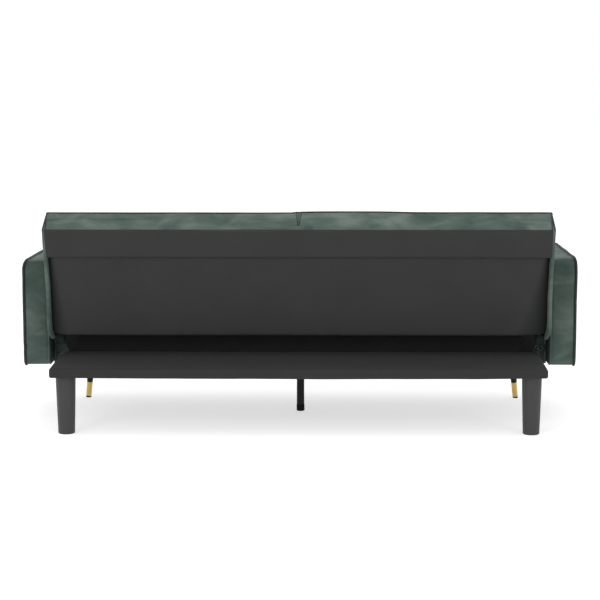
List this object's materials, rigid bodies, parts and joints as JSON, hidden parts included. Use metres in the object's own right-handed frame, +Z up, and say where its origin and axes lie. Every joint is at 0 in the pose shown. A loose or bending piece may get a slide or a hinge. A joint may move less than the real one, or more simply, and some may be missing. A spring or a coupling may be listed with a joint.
{
  "type": "click-clack sofa bed",
  "caption": "Upholstered sofa bed with slab arms and a back that folds down level behind the seat, on round rear legs, splayed front legs and a middle leg.",
  "frame": {"origin": "on the floor, under the middle of the sofa's box", "axes": "+X to the sitter's left along the sofa, -Y the way a sitter faces, +Z up"},
  "size_m": [1.97, 0.784, 0.7626],
  "materials": {
    "velvet": "matte",
    "black_cloth": "matte",
    "timber": "matte",
    "hardboard": "matte",
    "felt": "matte",
    "webbing": "matte",
    "spring_steel": "satin",
    "nylon": "matte",
    "hinge_steel": "satin",
    "zinc_plate": "satin",
    "leg_plastic": "matte",
    "black_metal": "satin",
    "brass": "satin",
    "rubber": "matte"
  },
  "bodies": {
    "base": {"seat_cushion_left": "velvet", "seat_cushion_right": "velvet", "seat_border_left": "velvet", "seat_border_right": "velvet", "seat_front_border": "velvet", "arm_inner_pad_left": "velvet", "arm_inner_pad_right": "velvet", "arm_outer_pad_left": "velvet", "arm_outer_pad_right": "velvet", "seat_rear_cover": "black_cloth", "seat_dust_cover": "black_cloth", "ledge_cover": "black_cloth", "seat_front_rail": "timber", "seat_rear_rail": "timber", "seat_end_rails": "timber", "seat_cross_rails": "timber", "corner_blocks": "timber", "ledge_side_rails": "timber", "ledge_rear_rail": "timber", "ledge_cross_rails": "timber", "arm_board_left": "timber", "arm_board_right": "timber", "ledge_board": "hardboard", "seat_pad": "felt", "seat_springs": "spring_steel", "spring_clips": "nylon", "arm_spacers": "nylon", "hinge_seat_bracket_left": "hinge_steel", "hinge_seat_bracket_right": "hinge_steel", "front_leg_plates": "hinge_steel", "bracket_bolts": "hinge_steel", "arm_bolts": "zinc_plate", "rear_leg_studs": "zinc_plate", "plate_screws": "zinc_plate", "pivot_pins": "zinc_plate", "pawl_pins": "zinc_plate", "pawl_springs": "zinc_plate", "rear_leg_left": "leg_plastic", "rear_leg_right": "leg_plastic", "front_leg_left": "black_metal", "front_leg_right": "black_metal", "middle_leg": "black_metal", "front_leg_ferrules": "brass", "front_leg_pads": "rubber", "middle_leg_cap": "rubber"},
    "back": {"back_top_board": "timber", "back_bottom_rail": "timber", "back_end_rails": "timber", "back_uprights": "timber", "back_webbing": "webbing", "back_cushion_left": "velvet", "back_cushion_right": "velvet", "back_side_covers": "velvet", "back_top_band": "black_cloth", "back_dust_cover": "black_cloth", "hinge_back_plates": "hinge_steel", "hinge_plate_bolts": "zinc_plate"},
    "pawl_left": {"pawl_left": "zinc_plate"},
    "pawl_right": {"pawl_right": "zinc_plate"}
  },
  "joints": [
    {"name": "back_recline", "type": "hinge", "parent": "base", "child": "back", "pos_m": [0, 0.1335, 0.373], "axis": [-1, 0, 0], "range_deg": [0, 73.75]},
    {"name": "pawl_left_rock", "type": "hinge", "parent": "base", "child": "pawl_left", "pos_m": [0.855, 0.1105, 0.33316], "axis": [1, 0, 0], "range_deg": [0, 12], "stiffness_Nm_per_rad": 0.05, "springref_deg": -17.19},
    {"name": "pawl_right_rock", "type": "hinge", "parent": "base", "child": "pawl_right", "pos_m": [-0.855, 0.1105, 0.33316], "axis": [1, 0, 0], "range_deg": [0, 12], "stiffness_Nm_per_rad": 0.05, "springref_deg": -17.19}
  ]
}
